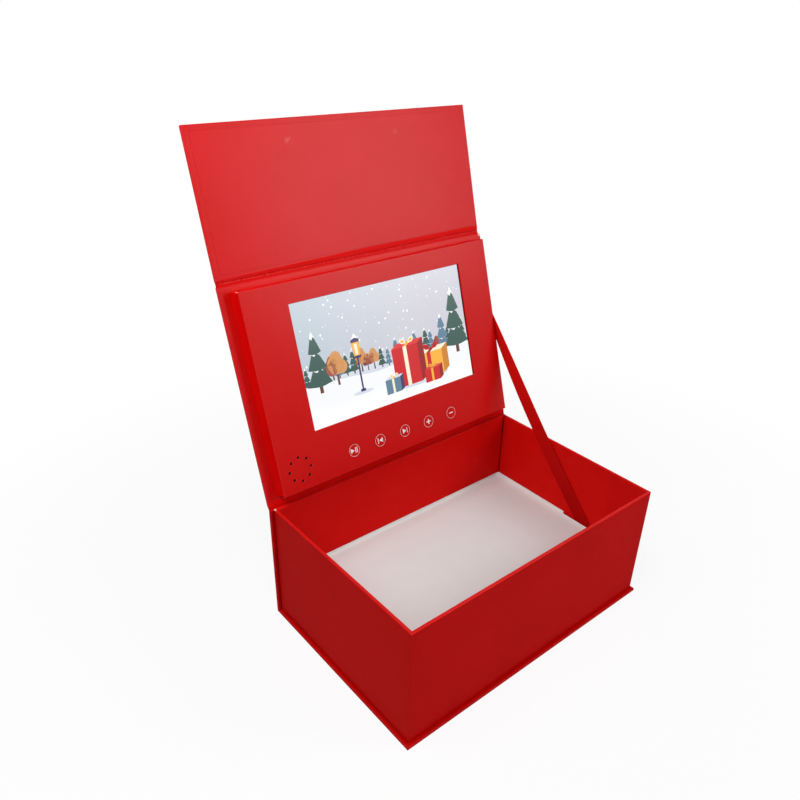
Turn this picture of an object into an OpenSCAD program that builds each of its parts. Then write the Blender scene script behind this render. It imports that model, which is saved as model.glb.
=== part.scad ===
// Video gift box: a rigid paper-covered tray with a false floor, a book-style case whose lid
// carries a screen module, and a front flap that closes on magnets.
// Millimetres. X runs along the hinge, Y to the rear, Z up. The origin is on the underside of
// the base, under the middle of the tray. The lid is drawn open, as it stands on its strap.

/* [Tray] */
// Width of the tray over its wrapped walls
tray_w = 229; // [215:1:260]
// Depth of the tray over its wrapped walls
tray_d = 150; // [146:1:180]
// Height of the tray walls above the base
tray_h = 92.5; // [70:0.5:120]
// Height of the white platform above the base
platform_h = 32.2; // [20:0.1:45]

/* [Board and paper] */
// Thickness of the greyboard panels
board_t = 2; // [1.5:0.25:3]
// Thickness of the covering paper
paper_t = 0.25; // [0.15:0.05:0.4]
// Width of the covering paper turned in round a panel
turn_in = 4; // [3:0.5:15]

/* [Case] */
// Overhang of the base and the lid past each side of the tray
lip_side = 2.25; // [1:0.25:4]
// Overhang of the base past the front of the tray
lip_front = 2.5; // [1:0.25:4]
// Angle the lid is open at when its strap is taut
open_angle = 107; // [95:1:115]
// Angle the flap leans in from the plane of the lid at rest
flap_lean = 1.5; // [0:0.5:5]
// Width of the flap, a little narrower than the lid
flap_w = 231.3; // [205:0.1:233]
// Sideways offset of the flap from the middle of the lid
flap_x = -0.9; // [-1:0.1:0]

/* [Screen module] */
// Width of the module
module_w = 217.5; // [190:0.5:222]
// Length of the module up the lid
module_l = 142; // [120:0.5:143]
// Height of the module's face over the lid's inner side
module_h = 10; // [9:0.5:12]
// Sideways offset of the module from the middle of the lid
module_x = 0.8; // [-2:0.1:1]
// Width of the window, for a seven inch screen
window_w = 154; // [150:0.5:156]
// Height of the window
window_l = 89.5; // [84:0.5:92]
// Diameter of a button's cap
button_d = 10; // [7:0.1:11]
// Distance between buttons
button_pitch = 23.8; // [18:0.1:26]
// Travel of a button
button_travel = 0.5; // [0.2:0.1:0.5]

/* [Strap] */
// Width of the stay strap
strap_w = 12.5; // [8:0.5:20]
// Thickness of the stay strap
strap_t = 0.6; // [0.3:0.1:0.8]

/* [Hidden] */

$fn = 48;

wrap_red = [0.72, 0.07, 0.05];
liner_red = [0.76, 0.12, 0.10];
grey_board = [0.62, 0.58, 0.52];
platform_white = [0.86, 0.84, 0.83];
circuit_green = [0.05, 0.30, 0.16];
metal_grey = [0.72, 0.73, 0.75];
foam_black = [0.10, 0.10, 0.11];
glass_dark = [0.10, 0.11, 0.13];
card_tan = [0.74, 0.64, 0.48];

// A wrapped panel is board with paper on both sides
slab = board_t + 2 * paper_t;
case_w = tray_w + 2 * lip_side;
wall_top = slab + tray_h;
lid_top = wall_top + slab;
platform_top = slab + platform_h;

// The spine panel stands against the rear wall on a thin tape
spine_tape_t = 0.2;
spine_outer_y = tray_d / 2 + spine_tape_t + slab;
spine_drop = 1.8;
spine_l = wall_top - spine_drop;
base_l = tray_d / 2 + lip_front + spine_outer_y - slab;

// The lid turns about the crease in the paper at the top of the spine
pivot_y = spine_outer_y;
pivot_z = wall_top + 0.6;
lid_rear_gap = 0.3;
lid_rear_y = pivot_y - lid_rear_gap;

// The flap turns about the crease on the lid's outer side, and hangs over the front wall
flap_wall_gap = 0.2;
crease_y = -tray_d / 2 - flap_wall_gap - slab;
crease_z = lid_top;
lid_front_y = crease_y + slab + 0.2;
lid_l = lid_rear_y - lid_front_y;
flap_start = 0.3;
flap_floor_gap = 0.3;
flap_l = lid_top - slab - flap_floor_gap - flap_start;

// Magnets sit near the flap's free edge, over steel discs in the front wall
magnet_x = 45;
magnet_along = 80;
magnet_d = 10;
magnet_t = 1.5;
catch_d = 12;
catch_t = 1.2;
trigger_d = 6;
trigger_x = 60;
trigger_z = wall_top - 9;

// Platform, a card on crossed ribs with its edges folded up, and a slot at the right for the strap
card_t = 1;
platform_gap = 0.3;
platform_lip = 2.7;
inner_x = tray_w / 2 - slab;
inner_y = tray_d / 2 - slab;
strap_slot = [-38, -16];
strap_slot_depth = 1.4;
rib_t = 1.5;
rib_play = 0.15;
rib_inset = 6;
long_rib_y = [-36, 36];
cross_rib_x = [-70, 0, 70];
floor_z = slab + board_t;

// Module frame: x across, s up the lid from the pivot, d down from the lid's inner side
module_s = 6.1;
face_t = 1.2;
side_t = 2.5;
cavity_d = module_h - face_t;
module_left = module_x - module_w / 2;
module_right = module_x + module_w / 2;
module_far = module_s + module_l;
window_x = 2.8;
window_s = 43.9;
window_mid_s = window_s + window_l / 2;
glass_size = [163, 97.5];
glass_t = 1.8;
backlight_size = [165, 100];
backlight_t = 3.2;
glass_d = cavity_d - glass_t;
backlight_d = glass_d - backlight_t;

// Buttons run in holes in the face, on a row under the window
button_mid_x = 1.7;
button_s = 20.2;
button_gap = 0.2;
flange_d = 12;
flange_t = 0.6;
stem_d = 3;
switch_size = 6;
switch_t = 3;
switch_play = 0.1;
switch_top = cavity_d - flange_t - button_travel - switch_play;
switch_low = switch_top - switch_t;
switch_bore_depth = 2;
stem_reach = 1.2;
button_board_t = 1.2;
button_board_size = [118, 13];

// Speaker behind a ring of small holes
speaker_x = -91.6;
speaker_s = 21.7;
speaker_d = 24;
speaker_t = 4.2;
gasket_t = 0.6;
gasket_bore = 21;
speaker_ring_r = 8.7;
speaker_hole_d = 2;
speaker_holes = 8;

// Charging socket in the module's right side, between the strap and the hinge
usb_s = 14.5;
usb_size = [5.6, 7.6, 2.6];
usb_low = 2.6;
usb_slot_play = 0.2;
usb_wall = 0.4;

// Electronics behind the screen
battery_lo = [-62, 60, 0.3];
battery_hi = [28, 120, 3.7];
driver_lo = [32, 54, 1.6];
driver_hi = [74, 122, 2.6];
chip_t = 1;
lead_d = 1.2;
twin_lead = [2.4, 1];

// The strap runs from the right wall, under the platform, to the lid
strap_x = inner_x - 0.2 - strap_t;
strap_low = [-36.4, 24];
strap_lid_s = 96.2;
strap_sag = 2.9;
strap_steps = 12;
tab_w = 16;
tab_inner_x = 99;
tab_play = 0.1;

// Places
function lid_point(s, d) = [
    pivot_y - s * cos(open_angle) - (pivot_z - wall_top + d) * sin(open_angle),
    pivot_z + s * sin(open_angle) - (pivot_z - wall_top + d) * cos(open_angle)
];

module block(lo, hi) {
    translate(lo) cube(hi - lo);
}

// Everything on the lid is drawn closed and then swung open
module swing_lid() {
    translate([0, pivot_y, pivot_z])
        rotate([-open_angle, 0, 0])
            translate([0, -pivot_y, -pivot_z]) children();
}

module swing_flap() {
    swing_lid()
        translate([0, crease_y, crease_z])
            rotate([flap_lean, 0, 0])
                translate([0, -crease_y, -crease_z]) children();
}

module on_base() {
    translate([0, -tray_d / 2 - lip_front, 0]) children();
}

module on_spine() {
    translate([0, spine_outer_y, 0]) rotate([90, 0, 0]) children();
}

module on_lid() {
    swing_lid() translate([0, lid_rear_y, lid_top]) rotate([180, 0, 0]) children();
}

module on_flap() {
    swing_flap() translate([flap_x, crease_y - flap_start, lid_top]) rotate([180, 0, 0]) children();
}

// Module frame: children use [x, s, d]
module in_module() {
    swing_lid() translate([0, pivot_y, wall_top]) rotate([180, 0, 0]) children();
}

// A wrapped panel lies on its outer face, with its inner face up
module panel_board(w, l) {
    block([-w / 2 + paper_t, paper_t, paper_t], [w / 2 - paper_t, l - paper_t, slab - paper_t]);
}

module panel_wrap(w, l) {
    difference() {
        block([-w / 2, 0, 0], [w / 2, l, slab]);
        panel_board(w, l);
        block([-w / 2 + turn_in, turn_in, slab - 2 * paper_t], [w / 2 - turn_in, l - turn_in, slab + 1]);
    }
}

module panel_liner(w, l) {
    block([-w / 2 + turn_in, turn_in, slab - paper_t], [w / 2 - turn_in, l - turn_in, slab]);
}

// Base and spine of the case

module base_wrap() {
    color(wrap_red) on_base() panel_wrap(case_w, base_l);
}

module base_board() {
    color(grey_board) on_base() panel_board(case_w, base_l);
}

module spine_wrap() {
    color(wrap_red) on_spine() panel_wrap(case_w, spine_l);
}

module spine_board() {
    color(grey_board) on_spine() panel_board(case_w, spine_l);
}

module spine_tape() {
    color(card_tan) block([-100, tray_d / 2, 8], [100, tray_d / 2 + spine_tape_t, wall_top - 8]);
}

// Tray

board_x = tray_w / 2 - paper_t;
board_y = tray_d / 2 - paper_t;
board_top = wall_top - paper_t;

module tray_wrap() {
    color(wrap_red) difference() {
        block([-tray_w / 2, -tray_d / 2, slab], [tray_w / 2, tray_d / 2, wall_top]);
        block([-inner_x, -inner_y, slab - 1], [inner_x, inner_y, wall_top + 1]);
        difference() {
            block([-board_x, -board_y, slab - 1], [board_x, board_y, board_top]);
            block([-inner_x - paper_t, -inner_y - paper_t, floor_z],
                  [inner_x + paper_t, inner_y + paper_t, wall_top]);
        }
    }
}

module long_wall() {
    block([-board_x, 0, slab], [board_x, board_t, board_top]);
}

module short_wall() {
    block([0, -board_y + board_t, slab], [board_t, board_y - board_t, board_top]);
}

module tray_front_board() {
    color(grey_board) difference() {
        translate([0, -board_y, 0]) long_wall();
        at_catches() cylinder(d = catch_d + 0.4, h = 2 * catch_t + 0.2, center = true);
    }
}

module at_catches() {
    for (side = [-1, 1])
        translate([side * magnet_x, -board_y, lid_top - magnet_along]) rotate([-90, 0, 0]) children();
}

module front_catch_discs() {
    color(metal_grey) at_catches() cylinder(d = catch_d, h = catch_t);
}

module at_trigger() {
    translate([trigger_x, board_y, trigger_z]) rotate([90, 0, 0]) children();
}

module tray_rear_board() {
    color(grey_board) difference() {
        translate([0, board_y - board_t, 0]) long_wall();
        at_trigger() cylinder(d = trigger_d + 0.4, h = 2 * magnet_t + 0.2, center = true);
    }
}

module trigger_magnet() {
    color(metal_grey) at_trigger() cylinder(d = trigger_d, h = magnet_t);
}

module tray_left_board() {
    color(grey_board) translate([-board_x, 0, 0]) short_wall();
}

module tray_right_board() {
    color(grey_board) translate([board_x - board_t, 0, 0]) short_wall();
}

module tray_bottom_board() {
    color(grey_board) block([-board_x + board_t, -board_y + board_t, slab],
                            [board_x - board_t, board_y - board_t, floor_z]);
}

// False floor

module platform() {
    x = inner_x - platform_gap;
    y = inner_y - platform_gap;
    color(platform_white) difference() {
        union() {
            block([-x, -y, platform_top - card_t], [x, y, platform_top]);
            difference() {
                block([-x, -y, platform_top - card_t], [x, y, platform_top + platform_lip]);
                block([card_t - x, card_t - y, platform_top - 2 * card_t],
                      [x - card_t, y - card_t, platform_top + 2 * platform_lip]);
            }
        }
        block([x - strap_slot_depth, strap_slot[0], platform_top - 2 * card_t],
              [x + 1, strap_slot[1], platform_top + 2 * platform_lip]);
    }
}

rib_top = platform_top - card_t;
rib_mid = (floor_z + rib_top) / 2;

module platform_long_ribs() {
    x = inner_x - rib_inset;
    color(card_tan) difference() {
        for (y = long_rib_y)
            block([-x, y - rib_t / 2, floor_z], [x, y + rib_t / 2, rib_top]);
        for (cx = cross_rib_x)
            block([cx - rib_t / 2 - rib_play, -inner_y, rib_mid - rib_play],
                  [cx + rib_t / 2 + rib_play, inner_y, rib_top + 1]);
    }
}

module platform_cross_ribs() {
    y = inner_y - rib_inset;
    color(card_tan) difference() {
        for (cx = cross_rib_x)
            block([cx - rib_t / 2, -y, floor_z], [cx + rib_t / 2, y, rib_top]);
        for (ry = long_rib_y)
            block([-inner_x, ry - rib_t / 2 - rib_play, floor_z - 1],
                  [inner_x, ry + rib_t / 2 + rib_play, rib_mid + rib_play]);
    }
}

// Stay strap, from a glued end on the right wall up to the lid, sagging a little to the rear
module stay_strap() {
    run = lid_point(strap_lid_s, strap_t) - strap_low;
    length = norm(run);
    across = [-run[1], run[0]] / length;
    first = -strap_w / 2 / length;
    step = (1 + strap_w / length - first) / strap_steps;
    edges = [for (side = [-1, 1]) [for (i = [0 : strap_steps])
        let (t = first + i * step)
            strap_low + run * t + across * (side * strap_w / 2 - strap_sag * sin(180 * t))]];
    color(wrap_red) difference() {
        translate([strap_x, 0, 0]) rotate([90, 0, 90]) linear_extrude(strap_t)
            polygon(concat(edges[0], [for (i = [strap_steps : -1 : 0]) edges[1][i]]));
        in_module() block([0, 0, -60], [tray_w, module_far, strap_t]);
    }
}

module strap_lid_tab() {
    color(wrap_red) in_module()
        block([tab_inner_x, strap_lid_s - tab_w / 2, 0],
              [strap_x + strap_t, strap_lid_s + tab_w / 2, strap_t]);
}

// Lid of the case

module lid_wrap() {
    color(wrap_red) on_lid() panel_wrap(case_w, lid_l);
}

module lid_board() {
    color(grey_board) on_lid() panel_board(case_w, lid_l);
}

module lid_liner() {
    color(liner_red) on_lid() panel_liner(case_w, lid_l);
}

// The covering paper where it bends from the spine to the lid
module lid_hinge_paper() {
    outer = lid_point(lid_rear_gap, -slab);
    color(wrap_red) translate([-case_w / 2, 0, 0]) rotate([90, 0, 90])
        linear_extrude(case_w) polygon([
            [spine_outer_y - paper_t, spine_l],
            [spine_outer_y, spine_l],
            [outer[0] - 0.05, outer[1] - 0.35],
            [outer[0] - 0.05, outer[1] - 0.1]
        ]);
}

// The lining paper on the inner side of the same bend
module lid_hinge_liner() {
    inner = lid_point(lid_rear_gap, 0);
    foot = inner[0] - 0.4;
    color(liner_red) translate([-case_w / 2 + turn_in, 0, 0]) rotate([90, 0, 90])
        linear_extrude(case_w - 2 * turn_in) polygon([
            [foot - paper_t, spine_l + 0.05],
            [foot, spine_l + 0.05],
            [inner[0] - 0.05, inner[1] - 0.1],
            [inner[0] - 0.05 - paper_t, inner[1] - 0.1]
        ]);
}

// Screen module

module module_face() {
    color(wrap_red) in_module() difference() {
        block([module_left, module_s, cavity_d], [module_right, module_far, module_h]);
        translate([window_x, window_mid_s, module_h])
            cube([window_w, window_l, 4 * face_t], center = true);
        for (i = [0 : 4])
            translate([button_x(i), button_s, cavity_d - 1])
                cylinder(d = button_d + 2 * button_gap, h = face_t + 2);
        for (i = [0 : speaker_holes - 1])
            translate([speaker_x, speaker_s, cavity_d - 1])
                rotate([0, 0, i * 360 / speaker_holes])
                    translate([speaker_ring_r, 0, 0]) cylinder(d = speaker_hole_d, h = face_t + 2);
    }
}

module module_side_left() {
    color(wrap_red) in_module()
        block([module_left, module_s, 0], [module_left + side_t, module_far, cavity_d]);
}

module module_side_right() {
    slot = [usb_s - usb_size[1] / 2 - usb_slot_play, usb_s + usb_size[1] / 2 + usb_slot_play];
    color(wrap_red) in_module() difference() {
        block([module_right - side_t, module_s, 0], [module_right, module_far, cavity_d]);
        block([module_right - side_t - 1, slot[0], usb_low - usb_slot_play],
              [module_right + 1, slot[1], usb_low + usb_size[2] + usb_slot_play]);
        block([module_right - side_t - 1, strap_lid_s - tab_w / 2 - tab_play, -1],
              [module_right + 1, strap_lid_s + tab_w / 2 + tab_play, strap_t + tab_play]);
    }
}

module module_side_top() {
    color(wrap_red) in_module()
        block([module_left + side_t, module_far - side_t, 0],
              [module_right - side_t, module_far, cavity_d]);
}

module module_side_bottom() {
    color(wrap_red) in_module()
        block([module_left + side_t, module_s, 0],
              [module_right - side_t, module_s + side_t, cavity_d]);
}

module screen_block(size, low, thick) {
    in_module() translate([window_x - size[0] / 2, window_mid_s - size[1] / 2, low])
        cube([size[0], size[1], thick]);
}

module lcd_glass() {
    color(glass_dark) screen_block(glass_size, glass_d, glass_t);
}

module lcd_backlight() {
    color(metal_grey) screen_block(backlight_size, backlight_d, backlight_t);
}

module lcd_foam_strips() {
    strip = 7;
    color(foam_black) for (side = [-1, 1])
        in_module()
            translate([window_x + side * (backlight_size[0] - strip) / 2, window_mid_s, backlight_d / 2])
                cube([strip, backlight_size[1] - 4, backlight_d], center = true);
}

module lcd_flex() {
    fold = window_mid_s - backlight_size[1] / 2 - 2;
    glass_edge = window_mid_s - glass_size[1] / 2;
    flex_t = 0.2;
    x = [44, 64];
    color("orange") in_module() {
        block([x[0], fold, backlight_d - flex_t], [x[1], driver_lo[1] + 6, backlight_d]);
        block([x[0], fold, backlight_d - flex_t], [x[1], fold + flex_t, glass_d + flex_t]);
        block([x[0], fold, glass_d], [x[1], glass_edge, glass_d + flex_t]);
    }
}

module driver_board() {
    chips = [[47, 55, 14, 4], [36, 70, 12, 12], [54, 72, 10, 10], [40, 92, 8, 14], [60, 96, 9, 7]];
    color(circuit_green) in_module() {
        block(driver_lo, driver_hi);
        for (chip = chips)
            translate([chip[0], chip[1], driver_hi[2]]) cube([chip[2], chip[3], chip_t]);
    }
}

module driver_board_tape() {
    color(foam_black) in_module()
        block([driver_lo[0] + 3, driver_lo[1] + 3, 0], [driver_hi[0] - 3, driver_hi[1] - 3, driver_lo[2]]);
}

module battery() {
    color(metal_grey) in_module() block(battery_lo, battery_hi);
}

module battery_leads() {
    color("red") in_module() for (s = [68, 71])
        translate([battery_hi[0], s, 2.1])
            rotate([0, 90, 0]) cylinder(d = lead_d, h = driver_lo[0] - battery_hi[0]);
}

// A flat twin lead, laid in square turns from under the speaker onto the driver board
module speaker_leads() {
    w = twin_lead[0];
    low = driver_hi[2];
    top = low + twin_lead[1];
    start = [-85, 22];
    turn = [28.6, 34];
    finish = [35, 57.4];
    color("black") in_module() {
        block([start[0], start[1], low], [start[0] + w, start[1] + w, speaker_low]);
        block([start[0], start[1], low], [start[0] + w, turn[1], top]);
        block([start[0], turn[1] - w, low], [turn[0] + w, turn[1], top]);
        block([turn[0], turn[1] - w, low], [turn[0] + w, finish[1], top]);
        block([turn[0], finish[1] - w, low], [finish[0], finish[1], top]);
    }
}

speaker_low = cavity_d - gasket_t - speaker_t;

module speaker() {
    color(metal_grey) in_module() translate([speaker_x, speaker_s, 0]) difference() {
        translate([0, 0, speaker_low]) cylinder(d = speaker_d, h = speaker_t);
        translate([0, 0, cavity_d - gasket_t - 1.2]) cylinder(d1 = 9, d2 = gasket_bore, h = 1.21);
    }
}

module speaker_gasket() {
    color(foam_black) in_module() translate([speaker_x, speaker_s, cavity_d - gasket_t])
        difference() {
            cylinder(d = speaker_d, h = gasket_t);
            translate([0, 0, -1]) cylinder(d = gasket_bore, h = gasket_t + 2);
        }
}

module usb_socket() {
    lo = [module_right - usb_size[0], usb_s - usb_size[1] / 2, usb_low];
    hi = lo + usb_size;
    color(metal_grey) in_module() difference() {
        block(lo, hi);
        block([lo[0] + usb_wall, lo[1] + usb_wall, lo[2] + usb_wall],
              [hi[0] + 1, hi[1] - usb_wall, hi[2] - usb_wall]);
    }
}

module usb_board() {
    color(circuit_green) in_module()
        block([module_right - side_t - 12, usb_s - 5.5, usb_low - 1],
              [module_right - side_t - 0.3, usb_s + 5.5, usb_low]);
}

module reed_switch() {
    color(glass_dark) in_module() translate([trigger_x - 7, module_s + side_t + 2, 1.6])
        rotate([0, 90, 0]) cylinder(d = 2.4, h = 14);
}

// Buttons

function button_x(i) = button_mid_x + (i - 2) * button_pitch;

module button_switches() {
    color(foam_black) in_module() for (i = [0 : 4])
        translate([button_x(i), button_s, switch_low]) difference() {
            translate([0, 0, switch_t / 2]) cube([switch_size, switch_size, switch_t], center = true);
            translate([0, 0, switch_t - switch_bore_depth])
                cylinder(d = stem_d + 0.6, h = switch_bore_depth + 1);
        }
}

module button_board() {
    color(circuit_green) in_module()
        block([button_mid_x - button_board_size[0] / 2, button_s - button_board_size[1] / 2,
               switch_low - button_board_t],
              [button_mid_x + button_board_size[0] / 2, button_s + button_board_size[1] / 2, switch_low]);
}

module button_board_pad() {
    color(foam_black) in_module()
        block([button_mid_x - button_board_size[0] / 2, button_s - button_board_size[1] / 2, 0],
              [button_mid_x + button_board_size[0] / 2, button_s + button_board_size[1] / 2,
               switch_low - button_board_t]);
}

module button(i) {
    color(liner_red) in_module() translate([button_x(i), button_s, 0]) {
        translate([0, 0, cavity_d]) cylinder(d = button_d, h = face_t);
        translate([0, 0, cavity_d - flange_t]) cylinder(d = flange_d, h = flange_t);
        translate([0, 0, switch_top - stem_reach])
            cylinder(d = stem_d, h = cavity_d - flange_t - switch_top + stem_reach);
    }
}

module button_play_pause() {
    button(0);
}

module button_previous() {
    button(1);
}

module button_next() {
    button(2);
}

module button_volume_up() {
    button(3);
}

module button_volume_down() {
    button(4);
}

// Front flap

module flap_wrap() {
    color(wrap_red) on_flap() panel_wrap(flap_w, flap_l);
}

module at_magnets() {
    for (side = [-1, 1])
        translate([side * magnet_x - flap_x, magnet_along - flap_start, slab - paper_t - magnet_t])
            children();
}

module flap_board() {
    color(grey_board) on_flap() difference() {
        panel_board(flap_w, flap_l);
        at_magnets() cylinder(d = magnet_d + 0.4, h = magnet_t + 1);
    }
}

module flap_magnets() {
    color(metal_grey) on_flap() at_magnets() cylinder(d = magnet_d, h = magnet_t);
}

module flap_liner() {
    color(liner_red) on_flap() panel_liner(flap_w, flap_l);
}

// Paper across the gutter between the lid and the flap
module gutter_paper(low) {
    swing_lid() block([flap_x - flap_w / 2, crease_y - 0.2, low],
                      [flap_x + flap_w / 2, lid_front_y, low + paper_t]);
}

module flap_hinge_paper() {
    color(wrap_red) gutter_paper(lid_top - paper_t);
}

module flap_hinge_liner() {
    color(liner_red) gutter_paper(wall_top);
}

base_wrap();
base_board();
spine_wrap();
spine_board();
spine_tape();
tray_wrap();
tray_front_board();
tray_rear_board();
tray_left_board();
tray_right_board();
tray_bottom_board();
front_catch_discs();
trigger_magnet();
platform();
platform_long_ribs();
platform_cross_ribs();
stay_strap();
lid_wrap();
lid_board();
lid_liner();
lid_hinge_paper();
lid_hinge_liner();
strap_lid_tab();
module_face();
module_side_left();
module_side_right();
module_side_top();
module_side_bottom();
lcd_glass();
lcd_backlight();
lcd_foam_strips();
lcd_flex();
driver_board();
driver_board_tape();
battery();
battery_leads();
speaker();
speaker_gasket();
speaker_leads();
usb_socket();
usb_board();
reed_switch();
button_switches();
button_board();
button_board_pad();
button_play_pause();
button_previous();
button_next();
button_volume_up();
button_volume_down();
flap_wrap();
flap_board();
flap_liner();
flap_magnets();
flap_hinge_paper();
flap_hinge_liner();
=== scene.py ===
import math
import random

import bpy
from mathutils import Matrix, Vector

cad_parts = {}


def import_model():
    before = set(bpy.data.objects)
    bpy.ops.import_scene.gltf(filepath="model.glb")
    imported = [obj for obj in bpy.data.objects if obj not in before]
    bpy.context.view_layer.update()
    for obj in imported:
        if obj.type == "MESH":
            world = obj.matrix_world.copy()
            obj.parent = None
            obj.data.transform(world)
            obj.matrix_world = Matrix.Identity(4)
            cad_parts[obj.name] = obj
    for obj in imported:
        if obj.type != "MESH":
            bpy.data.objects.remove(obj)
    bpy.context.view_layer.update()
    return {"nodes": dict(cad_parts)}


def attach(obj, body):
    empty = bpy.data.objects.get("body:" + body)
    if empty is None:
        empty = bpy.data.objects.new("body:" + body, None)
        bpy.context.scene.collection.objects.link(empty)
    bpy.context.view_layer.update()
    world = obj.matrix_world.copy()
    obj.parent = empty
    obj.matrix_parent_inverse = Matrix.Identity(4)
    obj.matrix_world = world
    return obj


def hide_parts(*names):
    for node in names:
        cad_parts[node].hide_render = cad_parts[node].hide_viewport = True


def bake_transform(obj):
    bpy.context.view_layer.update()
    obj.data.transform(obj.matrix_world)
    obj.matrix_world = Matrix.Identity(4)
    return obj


# Sizes and places, in millimetres, repeated from the part's source
MM = 0.001
SLAB = 2.5
BOARD_T = 2.0
PAPER_T = 0.25
TURN_IN = 4.0
TRAY_W, TRAY_D = 229.0, 150.0
CASE_W = 233.5
WALL_TOP = 95.0
LID_TOP = WALL_TOP + SLAB
LIP_FRONT = 2.5
BASE_L = 152.7
SPINE_L = 93.2
PIVOT_Y, PIVOT_Z = 77.7, 95.6
LID_REAR_Y = 77.4
CREASE_Y = -77.7
LID_L = 152.4
FLAP_START, FLAP_L = 0.3, 94.4
FLAP_X, FLAP_W = -0.9, 231.3
OPEN_ANGLE, FLAP_LEAN = 107.0, 1.5
MODULE_X, MODULE_W = 0.8, 217.5
MODULE_S, MODULE_L = 6.1, 142.0
MODULE_H, FACE_T, SIDE_T = 10.0, 1.2, 2.5
CAVITY_D = MODULE_H - FACE_T
WINDOW_X, WINDOW_S = 2.8, 43.9
WINDOW_W, WINDOW_L = 154.0, 89.5
BUTTON_MID_X, BUTTON_S, BUTTON_PITCH, BUTTON_HOLE = 1.7, 20.2, 23.8, 5.2
SPEAKER_X, SPEAKER_S, SPEAKER_RING = -91.6, 21.7, 8.7
USB_S, USB_D = (10.5, 18.5), (2.4, 5.4)
STRAP_X, STRAP_W, STRAP_T = 111.5, 12.5, 0.6
STRAP_LOW = (-36.4, 24.0)
STRAP_LID_S = 96.2
STRAP_SAG = 2.9
PLATFORM_TOP, CARD_T, PLATFORM_LIP = 34.7, 1.0, 2.7
PLATFORM_HALF = (111.7, 72.2)

# The strap's slot in the platform, from front to back, 12 mm longer than in the part's source
STRAP_SLOT = (-38, -4)

# Roundness of the wrapped edges and corners, the rim's height just under the closed lid's papers,
# and how far the turned-in border lies below the liner
EDGE_R = 0.5
CORNER_R = 0.5
RIM_R = 0.75
RIM_TOP = WALL_TOP - 0.05
BORDER_DROP = 0.12
CORNER_STEPS = 6
CORNER_FLANK = 3.0
ARC_STEPS = 4
CURVE_STEPS = 6
CORNER_POINTS = CORNER_STEPS + 3
RING_COUNT = 4 * CORNER_POINTS

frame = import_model()
nodes = frame["nodes"]


def turned(degrees, y, z):
    """A turn about an axis along X through y, z."""
    there = Matrix.Translation((0, y * MM, z * MM))
    return there @ Matrix.Rotation(math.radians(degrees), 4, "X") @ there.inverted()


def moved(x, y, z):
    return Matrix.Translation((x * MM, y * MM, z * MM))


IN_WORLD = Matrix.Identity(4)
UPRIGHT = Matrix.Rotation(math.radians(90), 4, "X")
FLIPPED = Matrix.Rotation(math.radians(180), 4, "X")
ON_BASE = moved(0, -TRAY_D / 2 - LIP_FRONT, 0)
ON_SPINE = moved(0, PIVOT_Y, 0) @ UPRIGHT
SWING_LID = turned(-OPEN_ANGLE, PIVOT_Y, PIVOT_Z)
SWING_FLAP = SWING_LID @ turned(FLAP_LEAN, CREASE_Y, LID_TOP)
ON_LID = SWING_LID @ moved(0, LID_REAR_Y, LID_TOP) @ FLIPPED
ON_FLAP = SWING_FLAP @ moved(FLAP_X, CREASE_Y - FLAP_START, LID_TOP) @ FLIPPED
# Module frame: x across, s up the lid from the pivot, d out of the lid's inner side
IN_MODULE = SWING_LID @ moved(0, PIVOT_Y, WALL_TOP) @ FLIPPED


# Materials

WHITE = (1.0, 1.0, 1.0, 1.0)


def srgb(red, green, blue):
    """A colour given as it shows on a screen, from 0 to 255."""
    def linear(value):
        value /= 255
        return value / 12.92 if value <= 0.04045 else ((value + 0.055) / 1.055) ** 2.4
    return (linear(red), linear(green), linear(blue), 1.0)


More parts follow.
